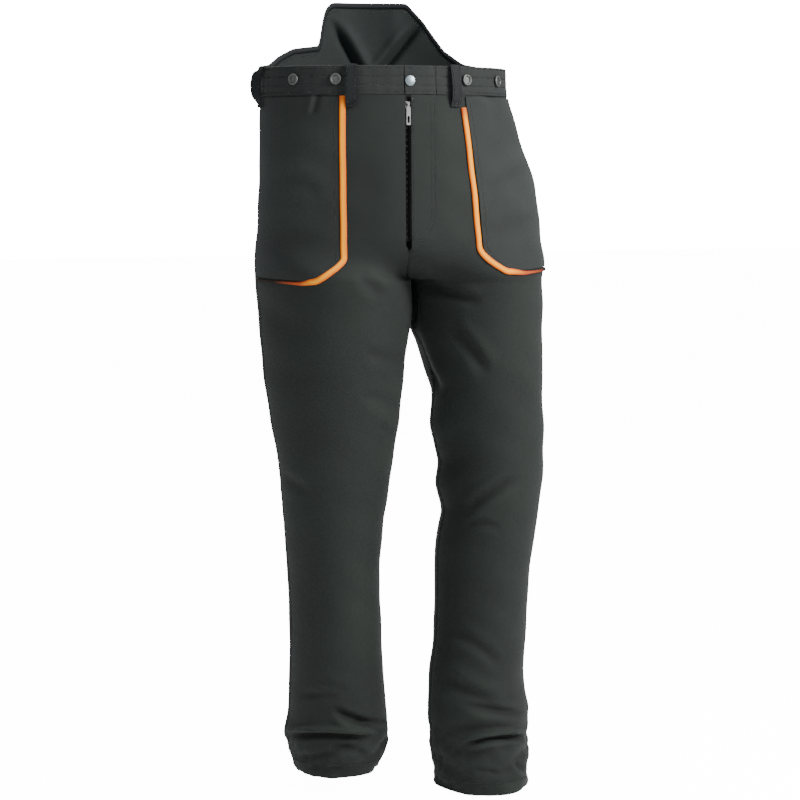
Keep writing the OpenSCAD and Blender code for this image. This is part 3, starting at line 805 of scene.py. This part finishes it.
def band_part(cut, start, end):
    """Adds a stretch of the waistband between two angles and returns its length."""
    profile = band_profile()
    count = max(6, int((end - start) * (.9)))
    angle = np.linspace(start, end, count)
    off, z = profile[:, 0], profile[:, 1]
    grid_a, grid_o = angle[:, None], off[None]
    turn = np.radians(grid_a)
    wobble = .25 * np.sin(turn * 23) * np.sin(z[None] / 9) + .18 * np.sin(turn * 61)
    grid_o = grid_o + wobble * (off[None] > 0)
    points = band_point(np.broadcast_to(grid_a, grid_o.shape), np.broadcast_to(z[None], grid_o.shape), grid_o)
    rows, cols = points.shape[:2]
    faces = tube_faces(rows, cols)
    # end caps as quads across the thickness
    ring = np.arange(cols)
    half = cols // 2
    caps = np.array([(ring[k], ring[k + 1], ring[cols - 2 - k], ring[cols - 1 - k]) for k in range(half - 1)])
    faces = np.concatenate([faces, caps[:, ::-1], caps + (rows - 1) * cols])
    ahead = np.gradient(points, axis=0)
    round_ring = np.concatenate([points[:, -1:], points, points[:, :1]], 1)
    n = unit(np.cross(round_ring[:, 2:] - round_ring[:, :-2], ahead))
    centre = points.mean(1, keepdims=True)
    n = n * np.sign(np.sum(n * (points - centre), -1).mean())
    if np.sum(np.cross(points[1, 0] - points[0, 0], points[0, 1] - points[0, 0]) * n[0, 0]) >= 0:
        faces = faces[:, ::-1]
    way = np.radians(angle) * BAND_RADIUS
    spots = np.stack(np.broadcast_arrays(way[:, None], z[None]), -1)
    cut.add(points, n, faces, spots)
    for height in BAND_LINES:
        fine = np.linspace(start + .4, end - .4, max(20, int((end - start) * 3)))
        line = band_point(fine, np.full_like(fine, height), np.full_like(fine, BAND_OUT - .35))
        around = band_point(fine, np.full_like(fine, height), np.full_like(fine, BAND_OUT + .65)) - line
        stitches(cut, line, unit(around))
    return abs(np.radians(end - start)) * BAND_RADIUS


def front_grid(x0, x1, za, zb, off, cols, rows):
    """Grid across the fly, following the front, with x measured from the middle line."""
    z = np.linspace(za, zb, rows)
    x = x0 + (x1 - x0) * np.linspace(0, 1, cols)[None] + mid_x(z)[:, None]
    cx, cy, ex, ey = (k[:, None] for k in section(SEAT, np.minimum(z, 9.9)))
    y = cy - (ey + off) * np.sqrt(1 - ((x - cx) / (ex + off)) ** 2)
    return np.stack([x, y, np.broadcast_to(z[:, None], x.shape)], -1)


def front_strip(cut, x0, x1, za, zb, out, deep, cols, rows):
    """Adds a flat strip behind the fly."""
    outer = front_grid(x0, x1, za, zb, out, cols, rows)
    inner = front_grid(x0, x1, za, zb, deep, cols, rows)
    shell_part(cut, outer, inner, unit(outer - inner), outer[..., ::2])
    return (x1 - x0) * MM, (za - zb) * MM


def make_waistband():
    """Right half with its underlap, the long run to the left front, and the tab that carries the stud."""
    cut = Cut()
    length = band_part(cut, 180.15, 267.1)
    front_strip(cut, -13, -6.6, -.5, -BAND_H + .5, -2.2, -8.5, 5, 9)
    front_strip(cut, -13, 27, -.5, -BAND_H + .5, -6.5, -8.5, 9, 9)
    declare(cut.build("waistband_right_cloth", [WAIST, THREAD]), "waist_and_seat",
            ["waistband_right"])
    cut = Cut()
    length = band_part(cut, 282.35, 539.85)
    declare(cut.build("waistband_main_cloth", [WAIST, THREAD]), "waist_and_seat",
            ["waistband_main"])
    cut = Cut()
    length = band_part(cut, 267.5, 282)
    declare(cut.build("waistband_tab_cloth", [WAIST, THREAD]), "fly_cover",
            ["waistband_tab"])


# ---------------------------------------------------------------- raised back
RISE = [(-171, 3), (-155, 6), (-134, 20), (-110, 31), (-65, 37), (-62, 62), (-58, 84), (-50, 97), (-41, 101),
        (71, 101), (94, 75), (122, 31), (146, 10), (171, 3)]
RISE_START, RISE_END = 18, 162  # angles where the raised back begins and ends
RISE_RADIUS = 155               # mean radius of the raised back, for lengths along it


def rise_top(angle):
    """Height of the raised back's top edge."""
    xs, zs = zip(*RISE)
    x = 179 * np.cos(np.radians(angle))
    return sum(w * np.interp(x + dx, xs, zs) for dx, w in ((-3, .25), (0, .5), (3, .25)))


def rise_point(angle, h, off):
    """Point of the raised back, with soft upright folds."""
    a = np.radians(angle)
    x = 179 * np.cos(a)
    high = ease(h / 60)
    wave = high * (1.5 * np.sin(x / 23 + h / 40) - 2.0 * bell((x - 52) / 14))
    deep = ease(h / 12) * ease((82 - h) / 40)
    hollow_right, hollow_left = x + 2 + .55 * h, x - 33 - .8 * h
    wave = wave + deep * (13 * bell(hollow_right / 7) - 5 * bell((hollow_right - 17) / 9)
                          + 13 * bell(hollow_left / 8) - 5 * bell((hollow_left + 18) / 9))
    wave = wave + .6 * np.sin(x / 11 + 2) * ease(h / 90)
    curl = 7 * ease((-40 - x) / 30) * ease((h - 60) / 40)
    o = off + wave
    return np.stack([(179 + o) * np.cos(a), (130 + o) * np.sin(a) + h * .03 - curl, h + 0 * a], -1)


def rise_normals(angle, h, off):
    """Outward normals of the raised back."""
    along = rise_point(angle + .3, h, off) - rise_point(angle - .3, h, off)
    up = rise_point(angle, h + .8, off) - rise_point(angle, h - .8, off)
    n = unit(np.cross(along, up))
    return n * np.sign(n[..., 1:2] + 1e-9)


def make_raised_back():
    """Outer panel, lining and the binding round the top edge."""
    cols, rows = ((190, 42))
    angle = np.linspace(RISE_START, RISE_END, cols)
    share = np.linspace(0, 1, rows)[::-1]
    for name, node, off, thick, material, slot in (
        ("raised_back_outer", "back_rise_outer", 0.0, 1.8, OUTER, "outer_cloth"),
        ("raised_back_lining", "back_rise_lining", -2.1, 1.0, DARK, "dark_cloth"),
    ):
        cut = Cut()
        h = .4 + (rise_top(angle)[None] - 2.4) * share[:, None]
        a = np.broadcast_to(angle[None], h.shape)
        outer = rise_point(a, h, off)
        n = rise_normals(a, h, off)
        spots = np.stack([np.radians(a) * RISE_RADIUS, h], -1)
        shell_part(cut, outer, outer - n * thick, n, spots)
        if off:
            for below in (6, 12):
                line_h = rise_top(angle) - below
                ok = line_h > 8
                line, ln = rise_point(angle, line_h, off - thick)[ok], -rise_normals(angle, line_h, off)[ok]
                stitches(cut, line, ln)
        area = grid_area(outer)
        wide = float(np.linalg.norm(np.diff(outer[-1], axis=0), axis=-1).sum()) * MM
        declare(cut.build(name, [material, THREAD]), "waist_and_seat", [node],
                area=max(area, .3 * max(wide, .38) * .125 + .0001))
    cut = Cut()
    h = rise_top(angle)
    outline = [(.9, -7.5), (1.0, -2), (.5, .3), (-1.5, 1.1), (-3.6, .3), (-4.1, -2), (-4.0, -7.5),
               (-3.3, -7.5), (-3.2, -1.5), (-1.5, -1.5), (.1, -1.5), (.2, -7.5)]
    points = np.stack([rise_point(angle, np.maximum(h + dz, .3), o) for o, dz in outline], 1)
    count, k = points.shape[:2]
    faces = tube_faces(count, k)
    caps = np.array([(11, 0, 1, 10), (1, 2, 9, 10), (2, 3, 4, 9), (4, 5, 8, 9), (5, 6, 7, 8)])
    faces = np.concatenate([faces, caps[:, ::-1], caps + (count - 1) * k])
    centre = points.mean(1, keepdims=True)
    n = unit(points - centre)
    turn = np.cross(points[1, 3] - points[0, 3], points[0, 4] - points[0, 3]) @ n[0, 3]
    if turn > 0:
        faces = faces[:, ::-1]
    way = np.radians(angle) * RISE_RADIUS
    cut.add(points, n, faces, np.stack(np.broadcast_arrays(way[:, None], np.arange(k)[None] * 2.0), -1))
    declare(cut.build("raised_back_binding", [LOOP]), "waist_and_seat", ["back_rise_binding"])


# ---------------------------------------------------------------- belt loops
LOOP_LEAN = math.radians(5.5)  # how far a belt loop leans with the waistband


def waist_frame(x, f):
    """Place, across, outward and up directions on the waistband's top line at x."""
    cx, cy, ex, ey = (float(k) for k in section(SEAT, np.array(0.0)))
    y = cy + f * ey * math.sqrt(1 - ((x - cx) / ex) ** 2)
    turn = math.atan2((y - cy) / ey ** 2, (x - cx) / ex ** 2)
    out = np.array([math.cos(turn), math.sin(turn), 0])
    across = np.array([-math.sin(turn), math.cos(turn), 0])
    up = np.array([0, 0, math.cos(LOOP_LEAN)]) - out * math.sin(LOOP_LEAN)
    away = np.cross(across, up)
    return np.array([x, y, 0.0]), across, away * np.sign(away @ out), up


def make_belt_loop(name, x, f, bulge, twist):
    """A folded strip sewn down above and below the band, standing off it in between."""
    origin, across, out, up = waist_frame(x, f)
    start = BAND_OUT + .6
    path = [(.7, -57), (.8, -53), (1.6, -50.5), (3.8, -47), (4.6 + bulge * .5, -38), (4.7 + bulge, -26),
            (4.6 + bulge * .7, -14), (4.4, -6), (3.9, -1.4), (2.4, 1.0), (.9, .9), (.6, -1.6)]
    t = np.linspace(0, len(path) - 1, 90)
    keep = np.arange(len(path))
    o, z = (softened(np.interp(t, keep, [p[k] for p in path])) for k in (0, 1))
    middle = origin + out * (start + o[:, None]) + up * z[:, None]
    ahead = unit(np.gradient(middle, axis=0))
    n = unit(np.cross(ahead, across))
    n = n * np.sign(np.sum(n * out, -1).sum())
    w = np.linspace(-1, 1, 11)
    half = 8 - .4 * bell((z + 30) / 14)
    edge_roll = .25 * np.cos(w * np.pi)
    turn = (np.radians(twist) * ease((z + 52) / 16) * ease((-2 - z) / 12))[:, None]
    across, n = across * np.cos(turn) + n * np.sin(turn), n * np.cos(turn) - across * np.sin(turn)
    sideways = across[:, None] * (half[:, None] * w[None])[..., None]
    outer = middle[:, None] + sideways + n[:, None] * (.5 + edge_roll)[None, :, None]
    inner = middle[:, None] + sideways - n[:, None] * .6
    cut = Cut()
    way = path_lengths(middle)
    spots = np.stack(np.broadcast_arrays(8 * w[None], way[:, None]), -1)
    shell_part(cut, outer, inner, np.broadcast_to(n[:, None], outer.shape), spots)
    for share in (-.7, .7):
        line = middle + across * (half[:, None] * share) + n * .62
        stitches(cut, line[6:-14], n[6:-14])
    for low in (-54.5, -52.5):  # bar tacks
        bar = np.linspace(-6, 6, 20)
        at = int(np.argmin(np.abs(z[:30] - low)))
        tack = middle[at] + across[at] * bar[:, None] + n[at] * .8
        stitches(cut, tack, np.repeat(n[at][None], len(bar), 0), pitch=1.2, long=.9, wide=.9)
    declare(cut.build(name + "_strip", [LOOP, THREAD]), "waist_and_seat", [name])


# ---------------------------------------------------------------- seat, pockets and fly
def front_edge(s):
    """u of the front panel's edge beside the zip, which closes under its end."""
    def at(v):
        x = mid_x(v) + (9.4 if s == LEFT else -4.2)
        open_u = seat_u(s, x, v)
        closed = ease((-243 - v) / 5)
        return open_u * (1 - closed) + 1.0 * closed
    return at


def seam_runs(cut, s, f, heights, offs=(3.0, 7.5)):
    """Adds topstitching beside the side seam and the middle seam or inseam."""
    fine = np.linspace(heights[0] - 1, heights[-1] + 1, int(abs(heights[-1] - heights[0])))
    girth = half_girth(s, fine)
    for distance in offs:
        stitches(cut, *trace(s, f, distance / girth, fine))
        stitches(cut, *trace(s, f, 1 - distance / girth, fine))


def make_seat():
    """Front panels and seat panels."""
    heights = rows_of(TOP, FORK)
    for s in (RIGHT, LEFT):
        side = SIDE_NAME[s]
        cut = Cut()
        wide, long, area = panel_part(cut, s, FRONT, 0.0, front_edge(s), heights)
        declare(cut.build(f"front_panel_{side}_cloth", [OUTER, THREAD]), "waist_and_seat",
                [f"front_panel_{side}"], area)
        cut = Cut()
        wide, long, area = panel_part(cut, s, BACK, 0.0, 1.0, heights)
        seam_runs(cut, s, BACK, heights)
        declare(cut.build(f"seat_panel_{side}_cloth", [OUTER, THREAD]), "waist_and_seat",
                [f"seat_panel_{side}"], area)


CORNER = {RIGHT: -261.0, LEFT: -249.0}  # height where the pocket's edge begins to turn outwards


def pocket_u(s, v):
    """u of the pocket's inner edge: straight down, then running out to its bottom corner."""
    straight = -92 - 4 * (-v - 45) / 210 if s == RIGHT else 79.5 + 15 * (-v - 58) / 170
    x = straight + s * 36 * np.clip((CORNER[s] - v) / 33, 0, 2) ** 1.3
    u = np.full_like(v, .6)
    for _ in range(6):
        here = skin(s, FRONT, u, v)[..., 0]
        slope = (skin(s, FRONT, u + .01, v)[..., 0] - skin(s, FRONT, u - .01, v)[..., 0]) / .02
        u = u + (x - here) / slope
    return u


def make_pockets():
    """Pocket panels, piping and the bags inside."""
    for s in (RIGHT, LEFT):
        side = SIDE_NAME[s]
        low_v = CORNER[s] - 34.0
        heights = rows_of(-43, low_v)
        cut = Cut()
        wide, long, area = panel_part(cut, s, FRONT, 0.012, lambda v: pocket_u(s, v) - .02, heights, 2.1, 1.1)
        fine = np.linspace(-50, low_v + 6, 300)
        stitches(cut, *trace(s, FRONT, pocket_u(s, fine) - .042, fine, 2.15))
        declare(cut.build(f"pocket_panel_{side}_cloth", [POCKET, THREAD]), "waist_and_seat",
                [f"pocket_panel_{side}"], min(area, wide * long))
        # piping: down the pocket's edge, round its corner and along its bottom to the side seam
        down = np.linspace(-42 if s == RIGHT else -58, low_v, 150)  # the side edge, then the bottom edge
        last_u = float(pocket_u(s, down[-1:])[0])
        along = np.linspace(0, 1, 60)[1:]
        us = np.concatenate([pocket_u(s, down), last_u * (1 - along) + .012 * along])
        vs = np.concatenate([down, low_v - 4.4 * ease(along * 4)])
        points, n = trace(s, FRONT, softened(us), softened(vs))
        low = np.concatenate([np.zeros(len(down)), along])
        half = 4.6 - 2.7 * ease(low * 2.6)
        # painted shade of the piping: red at its top end, red to near-black along its bottom run
        top_end = 1 - ease(np.arange(len(low)) / 14)
        end = .8 * top_end + ease(low * 4) + .9 * ease((low - .2) / .5)
        stain = np.repeat(end[:, None], RIBBON_COLS, 1)
        cut = Cut()
        length = ribbon(cut, points, n, half, 1.3, 3.7, stain)
        declare(cut.build(f"pocket_piping_{side}_strip", [PIPING]), "waist_and_seat",
                [f"pocket_piping_{side}"], area=.008 * length * MM)
        cut = Cut()
        heights = rows_of(-46, -240, 8)
        wide, long, area = panel_part(cut, s, FRONT, .05, lambda v: pocket_u(s, v) - .06, heights, -3.0, .8,
                                      INSIDE_GRID)
        declare(cut.build(f"pocket_bag_{side}_cloth", [BAG]), "waist_and_seat",
                [f"pocket_bag_{side}"], area)


FLY_EDGE, FLY_WIDE = 3.6, 37.4      # leading edge and width of the fly cover, from the middle line
FLY_CURVE, FLY_CURVE_FROM = 29, .7  # how far its lower end is cut back, and where that starts


def fly_cut_back(t):
    """How much narrower the fly cover is at a share t of its length."""
    return FLY_CURVE * np.clip((t - FLY_CURVE_FROM) / (1 - FLY_CURVE_FROM), 0, 1) ** 3


def make_fly():
    """Fly cover with its J-shaped stitching, the shield behind, and the zip's tapes."""
    cut = Cut()
    rows, cols = ((80, 22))
    z = np.linspace(TOP, -247, rows)
    t = (z - z[0]) / (z[-1] - z[0])
    share = np.linspace(0, 1, cols)
    x = mid_x(z)[:, None] + FLY_EDGE + (FLY_WIDE - fly_cut_back(t))[:, None] * share[None]
    v = np.broadcast_to(z[:, None], x.shape)
    u = seat_u(LEFT, x, v)
    base = surface(LEFT, FRONT, u, v)
    n = outward(LEFT, FRONT, u, v, lambda uu, vv: surface(LEFT, FRONT, uu, vv))
    thick = 2.3 - 1.3 * ease((share - .7) / .3)[None] + 0 * x
    edge = np.sqrt(np.clip(share / .04, 0, 1))[None]
    outer = base + n * (.6 + (thick - .6) * (.4 + .6 * edge))[..., None]
    inner = base + n * .5
    spots = np.stack([x, v], -1)
    shell_part(cut, outer, inner, n, spots)
    for inside in (3.2, 9.0):  # the J: down the side, then round to the leading edge
        fine = np.linspace(TOP - 2, -244, 260)
        tt = (fine - z[0]) / (z[-1] - z[0])
        line_x = mid_x(fine) + FLY_EDGE + FLY_WIDE - inside - fly_cut_back(tt)
        keep = line_x > mid_x(fine) + 6
        us = seat_u(LEFT, line_x, fine)
        stitches(cut, *trace(LEFT, FRONT, us[keep], fine[keep], 1.9 if inside > 5 else 1.4))
    fine = np.linspace(TOP - 2, -240, 260)
    stitches(cut, *trace(LEFT, FRONT, seat_u(LEFT, mid_x(fine) + 5.8, fine), fine, 2.3))
    declare(cut.build("fly_flap_cloth", [OUTER, THREAD]), "fly_cover", ["fly_flap"],
            area=.0068)
    for name, span, deep, high, material, slot in (
        ("fly_shield", (-20, 28), (-8.4, -9.4), (-43, -240), DARK, "dark_cloth"),
        ("zip_tape_right", (-9.5, -2.6), (-5.0, -5.7), (-44.5, -239), TAPE, "zip_tape"),
        ("zip_tape_left", (2.5, 12.4), (-5.0, -5.7), (-44.5, -239), TAPE, "zip_tape"),
    ):
        cut = Cut()
        wide, long = front_strip(cut, *span, *high, *deep, 10, 90)
        declare(cut.build(name + "_cloth", [material]), "waist_and_seat", [name],
                area=wide * long)


# ---------------------------------------------------------------- legs
def make_sleeve(name, s, heights, off, thick, material, nodes, body, fill=None, span=None):
    """A hidden layer of one leg: a whole tube, or a front pad."""
    cut = Cut()
    if fill is None:
        sizes = [panel_part(cut, s, f, 0.0, 1.0, heights, off, thick, INSIDE_GRID) for f in (FRONT, BACK)]
        flat, area = (sizes[0][0] + sizes[1][0], sizes[0][1]), sizes[0][2] + sizes[1][2]
        declare(cut.build(name, [material]), body, nodes, min(area, flat[0] * flat[1]))
    else:
        panel_part(cut, s, FRONT, *span, heights, off, thick, INSIDE_GRID)
        declare(cut.build(name, [material]), body, nodes)


def make_cuff(s):
    """The hem: turned up twice, stitched, and crumpled where it breaks over the boot."""
    side, hem = SIDE_NAME[s], HEM[s]
    cut = Cut()
    total = 0
    for f in (FRONT, BACK):
        heights = rows_of(hem + 22, hem, min(GRID, 2.4))
        total += panel_part(cut, s, f, 0.0, 1.0, heights, 0.0, 2.6)[0]
        us = np.linspace(.01, .99, 300)
        stitches(cut, *trace(s, f, us, np.full_like(us, hem + 19.0)))
    declare(cut.build(f"hem_{side}_cuff_cloth", [OUTER, THREAD]), f"shin_{side}",
            [f"hem_{side}_cuff"])


def make_leg(s):
    """Upper and lower leg: front and back cloth, pad and lining."""
    side = SIDE_NAME[s]
    thigh, shin = f"thigh_{side}", f"shin_{side}"
    upper = ("waist_and_seat", thigh, -.336, -.456)
    lower = (thigh, shin, -.534, -.666)
    hem = HEM[s] + 22
    for part, body, heights, nodes in (
        ("upper", upper, rows_of(FORK, KNEE), ("thigh", "thigh_sleeve")),
        ("lower", lower, rows_of(KNEE, hem), ("shin", "knee_sleeve")),
    ):
        for f, face in ((FRONT, "front"), (BACK, "back")):
            cut = Cut()
            wide, long, area = panel_part(cut, s, f, 0.0, 1.0, heights)
            seam_runs(cut, s, f, heights, (3.0, 7.5) if f == BACK else (2.2,))
            declare(cut.build(f"{part}_leg_{face}_{side}", [OUTER, THREAD]), body,
                    [f"{nodes[0]}_{face}_{side}", f"{nodes[1]}_{side}"],
                    min(area, wide * long))
    step = INSIDE_GRID * .8
    pad_off, lining_off = -CLOTH - .9, -CLOTH - PAD - 2.1
    for part, body, top, pad_low, lining_low in (
        ("thigh", thigh, -458, KNEE - 2, KNEE - 3),
        ("shin", shin, -669, HEM[s] + 60, HEM[s] + 30),
    ):
        make_sleeve(f"{part}_pad_{side}_fibre", s, rows_of(top, pad_low, step), pad_off, PAD, FIBRE,
                    [f"{part}_pad_{side}"], body, .5, (.02, .98))
        make_sleeve(f"{part}_lining_{side}_cloth", s, rows_of(top + 1, lining_low, step), lining_off, .8,
                    LINING, [f"{part}_lining_{side}"], body)
    make_cuff(s)


# ---------------------------------------------------------------- stage
def make_stage():
    """A pale floor under the hems and an even white surround."""
    low = cad_box[0][2]
    bpy.ops.object.select_all(action="DESELECT")
    bpy.ops.mesh.primitive_plane_add(size=30, location=(0, 0, low - .002))
    floor = bpy.context.object
    floor.name = "floor"
    pale = Finish("pale_floor", roughness=.9, specular=.1)
    pale.shader.inputs["Base Color"].default_value = rgb(.9, .9, .9)
    glow = pale.node("ShaderNodeEmission", {}, {"Color": rgb(1, 1, 1), "Strength": 14.0})
    both = pale.node("ShaderNodeAddShader")
    seen_only = pale.node("ShaderNodeMixShader")
    path = pale.node("ShaderNodeLightPath")
    links = pale.tree.links
    links.new(pale.shader.outputs[0], both.inputs[0])
    links.new(glow.outputs[0], both.inputs[1])
    links.new(path.outputs["Is Camera Ray"], seen_only.inputs[0])
    links.new(pale.shader.outputs[0], seen_only.inputs[1])
    links.new(both.outputs[0], seen_only.inputs[2])
    links.new(seen_only.outputs[0], pale.tree.nodes["Material Output"].inputs[0])
    floor.data.materials.append(pale.material)

    world = bpy.data.worlds.new("studio")
    world.use_nodes = True
    bpy.context.scene.world = world
    nodes, links = world.node_tree.nodes, world.node_tree.links
    soft = nodes["Background"]
    soft.inputs["Color"].default_value = rgb(.93, .97, 1.0)
    soft.inputs["Strength"].default_value = .62
    white = nodes.new("ShaderNodeBackground")
    white.inputs["Strength"].default_value = 22.0
    pick, path = nodes.new("ShaderNodeMixShader"), nodes.new("ShaderNodeLightPath")
    links.new(path.outputs["Is Camera Ray"], pick.inputs[0])
    links.new(soft.outputs[0], pick.inputs[1])
    links.new(white.outputs[0], pick.inputs[2])
    links.new(pick.outputs[0], nodes["World Output"].inputs[0])


def make_light(name, place, aim, size, power, colour):
    """One soft area light."""
    data = bpy.data.lights.new(name, "AREA")
    data.size, data.energy, data.color = size, power, colour
    light = bpy.data.objects.new(name, data)
    bpy.context.scene.collection.objects.link(light)
    light.location = place
    light.rotation_mode = "QUATERNION"
    light.rotation_quaternion = (Vector(aim) - Vector(place)).to_track_quat("-Z", "Y")


make_stage()
make_light("key", (1.35, -1.5, .8), (.06, -.1, -.14), .8, 96, (1.0, .995, .99))
make_light("fill", (-2.2, -2.0, .5), (0, 0, -.2), 1.6, 14, (.93, 1.0, .96))
make_light("top", (0, .4, 1.8), (0, 0, -.1), 1.2, 22, (.97, .99, 1.0))
make_light("behind", (.6, 2.4, .4), (0, 0, -.5), 1.6, 30, (1, 1, 1))

finish_hardware()
make_waistband()
make_raised_back()
for loop_name, loop_x, loop_face, loop_bulge, loop_twist in (
    ("belt_loop_front_right", -79.5, FRONT, .6, 0), ("belt_loop_front_left", 66, FRONT, .6, 0),
    ("belt_loop_side_right", -178.5, FRONT, 5.0, -52), ("belt_loop_side_left", 177, BACK, 1.5, 0),
    ("belt_loop_back", 0, BACK, .8, 0),
):
    make_belt_loop(loop_name, loop_x, loop_face, loop_bulge, loop_twist)
make_seat()
make_pockets()
make_fly()
for leg_side in (RIGHT, LEFT):
    make_leg(leg_side)
